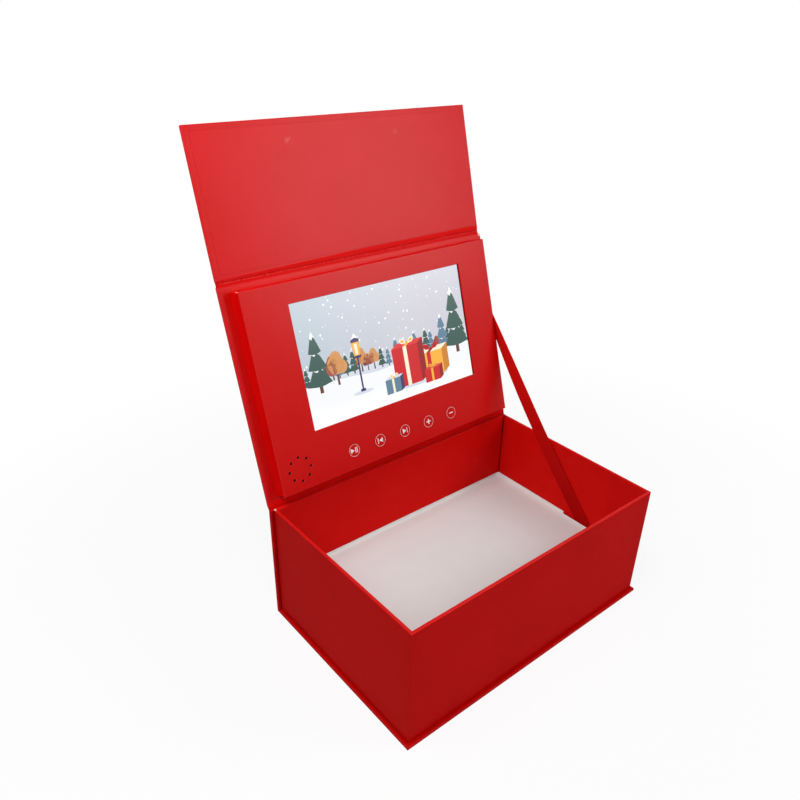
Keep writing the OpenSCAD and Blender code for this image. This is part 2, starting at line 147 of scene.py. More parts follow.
class Nodes:
    """The node tree of a material or a world, with short calls to add and join nodes."""

    def __init__(self, name, kind="materials"):
        self.owner = getattr(bpy.data, kind).new(name)
        self.owner.use_nodes = True
        self.tree = self.owner.node_tree
        self.shader = self.tree.nodes.get("Principled BSDF")

    def add(self, kind, **settings):
        node = self.tree.nodes.new(kind)
        for key, value in settings.items():
            if hasattr(node, key):
                setattr(node, key, value)
            else:
                node.inputs[key.replace("_", " ")].default_value = value
        return node

    def join(self, value, into):
        """Joins an output to a socket, or sets the socket to a number, a vector or a colour."""
        if isinstance(value, (int, float, tuple)):
            into.default_value = value
        else:
            self.tree.links.new(value, into)

    def place(self, matrix=None):
        """Object coordinates in millimetres, in the frame of a panel if one is given."""
        scale = 1 / MM
        inverse = IN_WORLD if matrix is None else matrix.inverted()
        mapping = self.add("ShaderNodeMapping", Rotation=inverse.to_euler(),
                           Location=inverse.translation * scale, Scale=(scale, scale, scale))
        self.join(self.add("ShaderNodeTexCoord").outputs["Object"], mapping.inputs["Vector"])
        return mapping.outputs["Vector"]

    def noise(self, where, per_mm, detail=3.0, stretch=None):
        if stretch:
            where = self.vector("MULTIPLY", where, stretch).outputs["Vector"]
        node = self.add("ShaderNodeTexNoise", Scale=per_mm, Detail=detail)
        self.join(where, node.inputs["Vector"])
        return node.outputs["Fac"]

    def ranged(self, value, low, high, to_low=0.0, to_high=1.0):
        node = self.add("ShaderNodeMapRange", From_Min=low, From_Max=high, To_Min=to_low, To_Max=to_high)
        self.join(value, node.inputs["Value"])
        return node.outputs["Result"]

    def mix(self, share, first, second):
        """A colour between two, each a colour or an output."""
        node = self.add("ShaderNodeMix", data_type="RGBA")
        for index, value in ((0, share), (6, first), (7, second)):
            self.join(value, node.inputs[index])
        return node.outputs[2]

    def math(self, operation, first, second):
        node = self.add("ShaderNodeMath", operation=operation)
        self.join(first, node.inputs[0])
        self.join(second, node.inputs[1])
        return node.outputs[0]

    def vector(self, operation, first, second=(0.0, 0.0, 0.0)):
        node = self.add("ShaderNodeVectorMath", operation=operation)
        self.join(first, node.inputs[0])
        self.join(second, node.inputs[1])
        return node

    def rays(self, *kinds):
        """1 for rays of these kinds, and 0 for others."""
        path = self.add("ShaderNodeLightPath")
        share, *others = (path.outputs[f"Is {kind} Ray"] for kind in kinds)
        for other in others:
            share = self.math("MAXIMUM", share, other)
        return share

    def mark(self, name):
        """A value stored on the points of the mesh."""
        return self.add("ShaderNodeAttribute", attribute_name=name).outputs["Fac"]

    def apart(self, where, axis):
        """One coordinate of a place."""
        split = self.add("ShaderNodeSeparateXYZ")
        self.join(where, split.inputs[0])
        return split.outputs[axis]

    def blend(self, share, first, second):
        """A shader between two."""
        node = self.add("ShaderNodeMixShader")
        for out, into in zip((share, first, second), node.inputs):
            self.join(out, into)
        return node.outputs[0]

    def bump(self, height, strength, distance_mm, *also):
        node = self.add("ShaderNodeBump", Strength=strength, Distance=distance_mm * MM)
        self.join(height, node.inputs["Height"])
        for name in ("Normal",) + also:
            self.join(node.outputs["Normal"], self.shader.inputs[name])

    def set(self, **values):
        for key, value in values.items():
            self.shader.inputs[key.replace("_", " ")].default_value = value


def paper(name, colour, deeper, lighter, gloss, matrix=None, highlight_spots=(), fade=None):
    """Laminated red paper: a thin satin film over a soft mottle and a fine grain, with scuffs and chips
    where the mesh says so, and a near-black red of painted shade where the mesh marks shaded joints and
    folds. It may have paler discs at given places, which are painted highlight, and it may fade to another
    colour between two heights, which paints light on the upper part."""
    m = Nodes(name)
    where = m.place(matrix)
    clouds = m.noise(where, 0.022, detail=2.0)
    patches = m.noise(where, 0.11)
    grain = m.noise(where, 4.5, detail=2.0)
    base = m.mix(m.ranged(clouds, 0.35, 0.7), deeper, colour)
    base = m.mix(m.ranged(patches, 0.45, 0.85, 0.0, 0.35), base, lighter)
    # Painted light: a fade between two heights to a paler colour, for a part whose upper end is lit more
    if fade:
        low, high, lit_colour = fade
        base = m.mix(m.ranged(m.apart(where, "Z"), low, high), base, lit_colour)
    # Paler discs broken up by noise: painted highlight for the light caught by the small bumps that the
    # magnets raise in the paper
    for x, y, radius in highlight_spots:
        away = m.vector("DISTANCE", where, (x, y, SLAB)).outputs["Value"]
        disc = m.ranged(away, 0.3 * radius, radius, 0.16, 0.0)
        bump_highlight = m.math("MULTIPLY", disc, m.ranged(m.noise(where, 0.5), 0.4, 0.6))
        base = m.mix(bump_highlight, base, srgb(232, 150, 150))
    scuff = m.math("MULTIPLY", m.mark("wear"), m.ranged(m.noise(where, 0.9, detail=4.0), 0.42, 0.62))
    base = m.mix(scuff, base, srgb(224, 84, 82))
    # Painted shade: a near-black red where the mesh marks shaded joints and folds
    base = m.mix(m.ranged(m.mark("seam_and_shade"), 0.75, 0.9), base, srgb(84, 2, 2))
    ragged = m.math("ADD", m.mark("bare"), m.ranged(m.noise(where, 1.6), 0.3, 0.7, -0.3, 0.3))
    base = m.mix(m.ranged(ragged, 0.5, 0.6), base, srgb(236, 224, 200))
    m.join(base, m.shader.inputs["Base Color"])
    m.join(m.ranged(patches, 0.3, 0.8, 0.65, 0.5), m.shader.inputs["Roughness"])
    m.bump(grain, 0.1, 0.04, "Coat Normal")
    m.set(Specular_IOR_Level=0.0, Coat_Weight=gloss, Coat_Roughness=0.3)
    return m.owner


def mottled(name, colour, other, per_mm, rough, metallic=0.0, bump_mm=0.0, stretch=None, gloss=0.5):
    """A plain material with a two-tone pattern of grain or fibre."""
    m = Nodes(name)
    pattern = m.noise(m.place(), per_mm, detail=4.0, stretch=stretch)
    m.join(m.mix(m.ranged(pattern, 0.35, 0.65), colour, other), m.shader.inputs["Base Color"])
    m.join(m.ranged(pattern, 0.3, 0.7, rough - 0.05, rough + 0.07), m.shader.inputs["Roughness"])
    if bump_mm:
        m.bump(pattern, 0.4, bump_mm)
    m.set(Metallic=metallic, Specular_IOR_Level=gloss)
    return m.owner


def display(name, colour, second=None, axis="X", limits=(0, 1)):
    """A colour of the lit screen, with a fade to a second colour between two places along an axis."""
    m = Nodes(name)
    m.set(Base_Color=srgb(16, 17, 20), Roughness=0.22, Specular_IOR_Level=0.35, Emission_Strength=1.0)
    if second is None:
        m.set(Emission_Color=srgb(*colour))
        return m.owner
    where = m.place()
    fade = m.ranged(m.apart(where, axis), *limits)
    drift = m.ranged(m.noise(where, 0.03, detail=1.0), 0.3, 0.7, -0.12, 0.12)
    colours = m.mix(m.math("ADD", fade, drift), srgb(*colour), srgb(*second))
    m.join(colours, m.shader.inputs["Emission Color"])
    return m.owner


RED = srgb(198, 8, 7)
RED_DEEP = srgb(192, 5, 5)
RED_PALE = srgb(204, 16, 15)
LINER_RED = srgb(200, 10, 10)
CRIMSON = srgb(202, 10, 18)
wrap_paper = paper("wrap_paper", RED, RED_DEEP, RED_PALE, 0.05)
# A darker copy of the red paper for the outer walls and panels: painted shade
shaded_outer_paper = paper("shaded_outer_paper", srgb(186, 9, 7), srgb(181, 7, 5), srgb(191, 15, 13), 0.07)
# A brighter, slightly pinker copy for the tray's inner walls: painted light
lit_inner_paper = paper("lit_inner_paper", srgb(207, 18, 15), srgb(202, 14, 11), srgb(213, 26, 22), 0.06)
# A paler copy for the rim's top: painted highlight, under its real satin coat
rim_highlight_paper = paper("rim_highlight_paper", srgb(208, 22, 20), srgb(202, 17, 15), srgb(214, 30, 28), 0.3)
lid_paper = paper("lid_paper", CRIMSON, RED, RED_PALE, 0.27)
liner_paper = paper("liner_paper", LINER_RED, RED, RED_PALE, 0.27)
# The flap's liner, with painted highlights over its two magnets
flap_liner_paper = paper("flap_liner_paper", CRIMSON, RED, RED_PALE, 0.29, matrix=ON_FLAP,
                         highlight_spots=((-44.1, 80, 3.6), (45.9, 80, 3.0)))
gutter_paper = paper("gutter_paper", LINER_RED, RED, RED_PALE, 0.06)
# A brighter copy for the inner papers in the hinges' folds: painted light where the module shades them
lit_fold_paper = paper("lit_fold_paper", srgb(218, 14, 12), srgb(213, 10, 9), srgb(222, 22, 20), 0.06)
module_paper = paper("module_paper", LINER_RED, RED, RED_PALE, 0.31)
# A brighter copy for the module's outer side walls: painted light
lit_side_paper = paper("lit_side_paper", srgb(220, 8, 7), srgb(214, 5, 5), srgb(224, 14, 12), 0.05)
hole_shadow = mottled("hole_shadow", srgb(14, 12, 12), srgb(22, 18, 18), 2.0, 0.9, gloss=0.1)
raw_card = mottled("raw_card", srgb(214, 196, 168), srgb(178, 156, 126), 1.4, 0.85,
                   bump_mm=0.05, gloss=0.2)
greyboard = mottled("greyboard", srgb(168, 158, 142), srgb(134, 124, 108), 0.9, 0.9,
                    bump_mm=0.06, stretch=(1, 1, 3), gloss=0.2)
white_card = mottled("white_card", srgb(219, 224, 222), srgb(217, 222, 220), 0.06, 0.5,
                     bump_mm=0.01, gloss=0.3)
rib_card = mottled("rib_card", srgb(196, 170, 130), srgb(172, 146, 108), 0.6, 0.9,
                   bump_mm=0.08, stretch=(3, 3, 0.6), gloss=0.2)
tape = mottled("tape", srgb(206, 196, 172), srgb(190, 178, 150), 0.5, 0.35)
# The strap: a deep red, partly its own colour and partly painted shade for its lower part beside the wall,
# fading to a paler red towards its top as painted light
strap_paper = paper("strap_ribbon", srgb(166, 5, 5), srgb(159, 4, 4), srgb(174, 7, 7), 0.05,
                    fade=(40, 170, srgb(217, 24, 20)))
steel = mottled("steel", srgb(178, 180, 184), srgb(150, 152, 156), 2.0, 0.3,
                metallic=1.0, stretch=(1, 6, 1))
black_glass = mottled("black_glass", srgb(12, 13, 15), srgb(18, 19, 22), 0.2, 0.12)
backlight_metal = mottled("backlight_metal", srgb(196, 198, 202), srgb(176, 178, 184), 0.4, 0.38,
                          metallic=1.0)
foam = mottled("foam", srgb(34, 34, 37), srgb(20, 20, 22), 2.4, 0.95, bump_mm=0.15, gloss=0.1)
flex_film = mottled("flex_film", srgb(196, 112, 34), srgb(150, 78, 22), 1.2, 0.3, stretch=(3, 0.2, 1))
battery_film = mottled("battery_film", srgb(192, 194, 198), srgb(164, 167, 173), 0.12, 0.3,
                       metallic=0.8, bump_mm=0.05)
wire_red = mottled("wire_red", srgb(170, 22, 18), srgb(150, 14, 12), 0.8, 0.4)
wire_black = mottled("wire_black", srgb(26, 26, 28), srgb(38, 38, 41), 0.8, 0.4)
switch_plastic = mottled("switch_plastic", srgb(28, 28, 30), srgb(40, 40, 43), 1.5, 0.45)
ring_ink = mottled("ring_ink", srgb(238, 190, 188), srgb(230, 176, 174), 1.5, 0.5, gloss=0.2)
icon_ink = mottled("icon_ink", srgb(236, 240, 240), srgb(226, 230, 230), 1.5, 0.5)


def circuit():
    """Green solder mask with copper tracks and pads."""
    m = Nodes("circuit_board")
    where = m.place(IN_MODULE)
    tracks = m.noise(where, 0.5, detail=1.0, stretch=(4, 0.5, 1))
    green = m.mix(m.ranged(tracks, 0.49, 0.52), srgb(16, 84, 50), srgb(34, 118, 72))
    pads = m.add("ShaderNodeTexVoronoi", Scale=0.35)
    m.join(where, pads.inputs["Vector"])
    spot = m.ranged(pads.outputs["Distance"], 0.1, 0.14, 1.0, 0.0)
    m.join(m.mix(spot, green, srgb(196, 176, 96)), m.shader.inputs["Base Color"])
    m.set(Roughness=0.35)
    return m.owner


circuit_board = circuit()


def dress(material, *names, bevel_mm=0.0, steps=2):
    """Gives CAD nodes a material and, where asked, softly rounded edges."""
    for name in names:
        node = nodes[name]
        node.data.materials.clear()
        node.data.materials.append(material)
        if bevel_mm:
            bevel = node.modifiers.new("edges", "BEVEL")
            bevel.width = bevel_mm * MM
            bevel.segments = steps
            bevel.limit_method = "ANGLE"
            bevel.angle_limit = math.radians(40)


dress(greyboard, "base_board", "spine_board", "tray_front_board", "tray_rear_board", "tray_left_board",
      "tray_right_board", "tray_bottom_board", "lid_board", "flap_board", bevel_mm=EDGE_R - PAPER_T)
dress(tape, "spine_tape")
dress(steel, "front_catch_discs", "trigger_magnet", "flap_magnets", bevel_mm=0.15)
dress(rib_card, "platform_long_ribs", "platform_cross_ribs")
dress(liner_paper, "lid_liner", bevel_mm=0.1)
dress(flap_liner_paper, "flap_liner", bevel_mm=0.1)
dress(black_glass, "lcd_glass", bevel_mm=0.2)
dress(backlight_metal, "lcd_backlight", bevel_mm=0.4)
dress(foam, "lcd_foam_strips", "driver_board_tape", "speaker_gasket", "button_board_pad")
dress(flex_film, "lcd_flex")
dress(circuit_board, "driver_board", "usb_board", "button_board")
dress(battery_film, "battery", bevel_mm=0.8, steps=3)
dress(wire_red, "battery_leads")
dress(wire_black, "speaker_leads")
dress(switch_plastic, "button_switches", "speaker", bevel_mm=0.1)
dress(steel, "usb_socket", "reed_switch")
dress(module_paper, "button_play_pause", "button_previous", "button_next", "button_volume_up",
      "button_volume_down", bevel_mm=0.12)


# Mesh building

def placed(name, data):
    """A new object in the scene for a mesh, a lamp or a camera."""
    made = bpy.data.objects.new(name, data)
    bpy.context.scene.collection.objects.link(made)
    return made


def mesh_of(name, points, faces, materials):
    """A mesh from points in millimetres."""
    mesh = bpy.data.meshes.new(name)
    mesh.from_pydata([Vector(p) * MM for p in points], [], faces)
    for material in materials:
        mesh.materials.append(material)
    return mesh


def piece(name, points, faces, matrix, body, materials, slot, marks=None, replaces=()):
    """A piece of the model in the frame of a panel. It rides on a body if one is named."""
    mesh = mesh_of(name, points, faces, materials)
    mesh.validate()
    for key, values in (marks or {}).items():
        layer = mesh.attributes.new(key, "FLOAT", "POINT")
        layer.data.foreach_set("value", values)
    made = placed(name, mesh)
    made.matrix_world = matrix
    if body:
        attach(made, body)
    if replaces:
        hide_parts(*replaces)
    return made


def soften(made, angle=35):
    """Smooth shading on the rounded edges, with flat panels kept flat."""
    for face in made.data.polygons:
        face.use_smooth = True
    normals = made.modifiers.new("normals", "WEIGHTED_NORMAL")
    normals.keep_sharp = True
    normals.weight = 100
    made.data.set_sharp_from_angle(angle=math.radians(angle))


def ring(centre, half, radius, height):
    """Points round a rectangle with rounded corners, anticlockwise seen from above, with one more point
    a little way along each side from each corner."""
    points = []
    flank = min(CORNER_FLANK, 0.5 * min(half))
    for corner, (side_x, side_y) in enumerate(((1, 1), (-1, 1), (-1, -1), (1, -1))):
        middle = (centre[0] + side_x * (half[0] - radius), centre[1] + side_y * (half[1] - radius))
        facing = math.radians(90 * corner)
        start = Vector((math.cos(facing), math.sin(facing)))
        ahead = Vector((-start.y, start.x))
        arc_points = []
        for step in range(CORNER_STEPS + 1):
            turn = math.radians(90 * step / CORNER_STEPS)
            arc_points.append(radius * math.cos(turn) * start + radius * math.sin(turn) * ahead)
        offsets = [arc_points[0] - flank * ahead] + arc_points + [arc_points[-1] - flank * start]
        points += [(middle[0] + offset.x, middle[1] + offset.y, height) for offset in offsets]
    return points


def loft(rings, closed=False):
    """Points and faces of the surface through a list of rings, with caps where it isn't closed."""
    count = len(rings[0])
    points = [p for one in rings for p in one]
    faces = []
    last = len(rings) if closed else len(rings) - 1
    for level in range(last):
        low, high = level * count, (level + 1) % len(rings) * count
        for i in range(count):
            j = (i + 1) % count
            faces.append((low + i, low + j, high + j, high + i))
    if not closed:
        faces.append(tuple(reversed(range(count))))
        faces.append(tuple(range((len(rings) - 1) * count, len(rings) * count)))
    return points, faces


def arc(centre, radius, start, end, steps=ARC_STEPS):
    """Points on part of a circle in a profile, angles in degrees."""
    angles = [math.radians(start + (end - start) * i / steps) for i in range(steps + 1)]
    return [(centre[0] + radius * math.cos(a), centre[1] + radius * math.sin(a)) for a in angles]


def rings_of(profile, centre, half, corner):
    """Rings for a profile of (inset, height) pairs round one rectangle."""
    return [
        ring(centre, (half[0] - inset, half[1] - inset), max(corner - inset, 0.06), height)
        for inset, height in profile
    ]


def edge_marks(levels, worn, chips=(), shaded_seams=()):
    """Values for each point of a loft: worn rings, corners chipped bare and corners darkened along a joint
    with painted shade.
    A chip is a ring, a corner, how far it reaches and how many points are left out at each side."""
    wear = [worn.get(i, 0.0) for i in range(levels) for _ in range(RING_COUNT)]
    bare = [0.0] * len(wear)
    seam_and_shade = [0.0] * len(wear)

    def corner_points(level, corner, trim):
        first = level * RING_COUNT + corner * CORNER_POINTS + 1
        return range(first + trim, first + CORNER_STEPS + 1 - trim)

    for level, corner, reach, trim in chips:
        for point in corner_points(level, corner, trim):
            bare[point] = reach
    for level, corner in shaded_seams:
        for point in corner_points(level, corner, 0):
            seam_and_shade[point] = 1.0
    return {"wear": wear, "bare": bare, "seam_and_shade": seam_and_shade}


def panel_skin(name, width, length, matrix, body, replaced, material=shaded_outer_paper, chips=()):
    """The covering paper of one panel: round the outer side and the edges, and turned in inside."""
    r = EDGE_R
    inner = r - PAPER_T
    top = SLAB - BORDER_DROP
    profile = (
        arc((r, r), r, 270, 180)
        + arc((r, top - r), r, 180, 90)
        + [(TURN_IN - 0.4, top), (TURN_IN, SLAB - PAPER_T)]
        + arc((r, top - r), inner, 90, 180)
        + arc((r, r), inner, 180, 270)
    )
    half = (width / 2, length / 2)
    points, faces = loft(rings_of(profile, (0, length / 2), half, CORNER_R))
    worn = {2: 0.4, ARC_STEPS + 3: 0.4, ARC_STEPS + 4: 0.3}
    marks = edge_marks(len(profile), worn, chips)
    made = piece(name, points, faces, matrix, body, [material], "wrap_paper", marks, [replaced])
    soften(made)


# Corners by their place in a ring
REAR_RIGHT, REAR_LEFT, FRONT_LEFT = 0, 1, 2

panel_skin("base_skin", CASE_W, BASE_L, ON_BASE, "tray", "base_wrap")
panel_skin("spine_skin", CASE_W, SPINE_L, ON_SPINE, "tray", "spine_wrap")
panel_skin("lid_skin", CASE_W, LID_L, ON_LID, "lid", "lid_wrap", lid_paper,
           chips=[(level, REAR_RIGHT, 1.0, 0) for level in range(5, 10)])
panel_skin("flap_skin", FLAP_W, FLAP_L, ON_FLAP, "flap", "flap_wrap", lid_paper)


def tray_skin():
    """The tray's paper: up the outer walls, over the rounded rim and down the inner walls."""
    r = RIM_R
    inner = r - PAPER_T
    floor = SLAB + BOARD_T
    profile = (
        [(0, SLAB)]
        + arc((r, RIM_TOP - r), r, 180, 90)
        + arc((SLAB - r, RIM_TOP - r), r, 90, 0)
        + [(SLAB, floor), (SLAB - PAPER_T, floor)]
        + arc((SLAB - r, RIM_TOP - r), inner, 0, 90)
        + arc((r, RIM_TOP - r), inner, 90, 180)
        + [(PAPER_T, SLAB)]
    )
    points, faces = loft(rings_of(profile, (0, 0), (TRAY_W / 2, TRAY_D / 2), CORNER_R), closed=True)
    chips = [(3, REAR_LEFT, 0.9, 0), (4, REAR_LEFT, 0.95, 0), (5, REAR_LEFT, 0.8, 0)]
    wall_top, wall_foot = 2 * ARC_STEPS + 2, 2 * ARC_STEPS + 3
    # Painted shade down the outer rear-left corner, for the shaded gap beside the spine, and down the
    # inner rear-right corner, where the papers' joint is drawn as a dark line of painted shade
    shaded_seams = [(0, REAR_LEFT), (1, REAR_LEFT), (wall_top, REAR_RIGHT), (wall_foot, REAR_RIGHT)]
    marks = edge_marks(len(profile), {}, chips, shaded_seams)
    made = piece("tray_skin", points, faces, IN_WORLD, "tray",
                 [lit_inner_paper, rim_highlight_paper, shaded_outer_paper], "wrap_paper", marks, ["tray_wrap"])
    # Rim faces take the paler copy, a painted highlight; the outer wall's faces take the darker copy,
    # painted shade; the rest keep the brighter copy, painted light
    for face in made.data.polygons[3 * RING_COUNT:(ARC_STEPS + 2) * RING_COUNT]:
        face.material_index = 1
    for face in made.data.polygons[:RING_COUNT]:
        face.material_index = 2
    soften(made)


tray_skin()


# Screen module

def cutter(name, rings, materials):
    """A closed solid through rings, with one material for each stretch between two rings."""
    mesh = mesh_of(name, *loft(rings), materials)
    for index in range((len(rings) - 1) * len(rings[0])):
        mesh.polygons[index].material_index = index // len(rings[0])
    return placed(name, mesh)


def circle(x, y, radius, steps, flat=1.0):
    """Points round a circle, or an ellipse when it is flattened."""
    turns = [math.tau * i / steps for i in range(steps)]
    return [(x + radius * math.cos(turn), y + flat * radius * math.sin(turn)) for turn in turns]


def round_cutter(name, x, s, radius, levels, materials, steps):
    rings = [[(*point, d) for point in circle(x, s, radius, steps)] for d in levels]
    return cutter(name, rings, materials)


def box_cutter(name, low, high, material):
    centre = ((low[0] + high[0]) / 2, (low[1] + high[1]) / 2)
    half = ((high[0] - low[0]) / 2, (high[1] - low[1]) / 2)
    return cutter(name, [ring(centre, half, 0.2, d) for d in (low[2], high[2])], [material])


def carve(made, cutters):
    """Cuts the holes, and keeps the cutters' materials on the cut faces."""
    for tool in cutters:
        cut = made.modifiers.new(tool.name, "BOOLEAN")
        cut.operation = "DIFFERENCE"
        cut.solver = "EXACT"
        cut.material_mode = "TRANSFER"
        cut.object = tool
    bpy.context.view_layer.update()
    evaluated = made.evaluated_get(bpy.context.evaluated_depsgraph_get())
    mesh = bpy.data.meshes.new_from_object(evaluated)
    made.modifiers.clear()
    made.data = mesh
    for tool in cutters:
        bpy.data.objects.remove(tool)


def button_x(index):
    return BUTTON_MID_X + (index - 2) * BUTTON_PITCH


def module_cover():
    """Face and sides in one paper cover, with its openings and the strap's notch."""
    r = EDGE_R
    lip = 0.3
    centre = (MODULE_X, MODULE_S + MODULE_L / 2)
    half = (MODULE_W / 2, MODULE_L / 2)
    outer = [(SIDE_T, CAVITY_D), (SIDE_T, 0), (0, 0)] + arc((r, MODULE_H - r), r, 180, 90)
    window = arc((-lip, MODULE_H - lip), lip, 90, 0) + [(0, CAVITY_D)]
    rings = rings_of(outer, centre, half, CORNER_R)
    rings += rings_of(window, (WINDOW_X, WINDOW_S + WINDOW_L / 2), (WINDOW_W / 2, WINDOW_L / 2), 0.4)
    points, faces = loft(rings, closed=True)
    chips = [(3, REAR_LEFT, 0.6, 1), (4, REAR_LEFT, 0.6, 1), (5, FRONT_LEFT, 0.8, 1)]
    marks = edge_marks(len(rings), {5: 0.4, 6: 0.25}, chips)
    made = piece("module_cover", points, faces, IN_WORLD, None,
                 [module_paper, raw_card, hole_shadow, lit_side_paper], "module_card", marks)
    # Outer side walls, in a brighter copy of the paper that paints light from the left
    for face in made.data.polygons[2 * RING_COUNT:3 * RING_COUNT]:
        face.material_index = 3
    low, high = CAVITY_D - 1, MODULE_H + 1
    cutters = [
        round_cutter(f"button_hole_{i}", button_x(i), BUTTON_S, BUTTON_HOLE, (low, high),
                     [module_paper], 48)
        for i in range(5)
    ]
    for i, (x, s) in enumerate(circle(SPEAKER_X, SPEAKER_S, SPEAKER_RING, 8)):
        cutters.append(round_cutter(f"speaker_hole_{i}", x, s, 1.0, (low, MODULE_H - 0.1, high),
                                    [hole_shadow, raw_card], 24))
    right = MODULE_X + MODULE_W / 2
    cutters.append(box_cutter("usb_slot", (right - SIDE_T - 1, USB_S[0], USB_D[0]),
                              (right + 1, USB_S[1], USB_D[1]), raw_card))
    cutters.append(box_cutter("strap_notch", (right - SIDE_T - 1, STRAP_LID_S - 8.2, -1),
                              (right + 1, STRAP_LID_S + 8.2, 0.8), module_paper))
    carve(made, cutters)
    made.matrix_world = IN_MODULE
    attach(made, "lid")
    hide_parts("module_face", "module_side_left", "module_side_right", "module_side_top",
                "module_side_bottom")
    soften(made)


module_cover()


def platform_sheet():
    """The white sheet, curling up gently at its sides and folded up more sharply at its front and back,
    with a slot that lets the strap through."""
    wide, deep = 7.0, 2.2
    lip_top = PLATFORM_TOP + PLATFORM_LIP
    levels = [(0, 0, PLATFORM_TOP - CARD_T), (0, 0, lip_top - 0.1), (0.1, 0.1, lip_top)]
    levels += [(0.5 + wide * x, 0.5 + deep * x, PLATFORM_TOP + PLATFORM_LIP * z)
               for x, z in arc((1, 1), 1, 180, 270, 8)]
    rings = [
        ring((0, 0), (PLATFORM_HALF[0] - inset_x, PLATFORM_HALF[1] - inset_y), 0.3, height)
        for inset_x, inset_y, height in levels
    ]
    points, faces = loft(rings)
    made = piece("platform_sheet", points, faces, IN_WORLD, None, [white_card], "white_card")
    edge = PLATFORM_HALF[0]
    carve(made, [box_cutter("strap_slot", (edge - 1.4, STRAP_SLOT[0], PLATFORM_TOP - 2 * CARD_T),
                            (edge + 1, STRAP_SLOT[1], lip_top + 1), white_card)])
    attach(made, "tray")
    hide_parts("platform")
    soften(made)


platform_sheet()


def prisms(shapes, low, high):
    """Thin solid plates from flat outlines, each outline anticlockwise."""
    points, faces = [], []
    for outline in shapes:
        start, count = len(points), len(outline)
        points += [(x, y, low) for x, y in outline] + [(x, y, high) for x, y in outline]
        faces.append(tuple(start + i for i in reversed(range(count))))
        faces.append(tuple(start + count + i for i in range(count)))
        for i in range(count):
            j = (i + 1) % count
            faces.append((start + i, start + j, start + count + j, start + count + i))
    return points, faces


# Black cloth behind the speaker's ring of holes
cloth_disc = circle(SPEAKER_X, SPEAKER_S, SPEAKER_RING + 1.7, 40)
cloth = prisms([cloth_disc], CAVITY_D - 0.3, CAVITY_D - 0.05)
piece("speaker_cloth", *cloth, IN_MODULE, "lid", [foam], "foam")

RING_STEPS = 48


def box(left, low, right, high):
    """The outline of a rectangle."""
    return [(left, low), (right, low), (right, high), (left, high)]


def icon_plates(kind):
    """Outlines of one icon about its middle: a ring and its symbol."""
    inner, outer = circle(0, 0, 4.32, RING_STEPS), circle(0, 0, 4.66, RING_STEPS)
    shapes = []
    for i in range(RING_STEPS):
        j = (i + 1) % RING_STEPS
        shapes.append([inner[i], outer[i], outer[j], inner[j]])

    def bar(x, y, width, height):
        return box(x - width / 2, y - height / 2, x + width / 2, y + height / 2)

    def arrow(x, way):
        half_w, half_h = way * 1.65, 1.98
        tip = [(x - half_w, -half_h), (x + half_w, 0), (x - half_w, half_h)]
        return tip[::way]

    symbols = {
        "play_pause": [arrow(-1.6, 1), bar(1.0, 0, 0.7, 4.2), bar(2.3, 0, 0.7, 4.2)],
        "previous": [bar(-2.0, 0, 0.6, 4.0), arrow(0.55, -1)],
        "next": [arrow(-0.55, 1), bar(2.0, 0, 0.6, 4.0)],
        "volume_up": [bar(0, 0, 4.2, 0.85), bar(0, 1.25, 0.85, 1.65), bar(0, -1.25, 0.85, 1.65)],
        "volume_down": [bar(0, 0, 3.8, 0.85)],
    }
    return shapes + symbols[kind]


for index, kind in enumerate(("play_pause", "previous", "next", "volume_up", "volume_down")):
    outlines = [[(x + button_x(index), y + BUTTON_S) for x, y in outline] for outline in icon_plates(kind)]
    plate_points, plate_faces = prisms(outlines, MODULE_H - 0.02, MODULE_H + 0.03)
    icon = piece(f"icon_{kind}", plate_points, plate_faces, IN_MODULE, f"{kind}_button",
                 [icon_ink, ring_ink], "button")
    for face in icon.data.polygons[:6 * RING_STEPS]:
        face.material_index = 1


# The picture on the screen: an invented winter scene of flat shapes in thin layers

PICTURE_W, PICTURE_L = 152.6, 89.1
PICTURE_X, PICTURE_S = WINDOW_X - WINDOW_W / 2 + 0.35, WINDOW_S + 0.2
PICTURE_LOW, LAYER = 8.83, 0.02


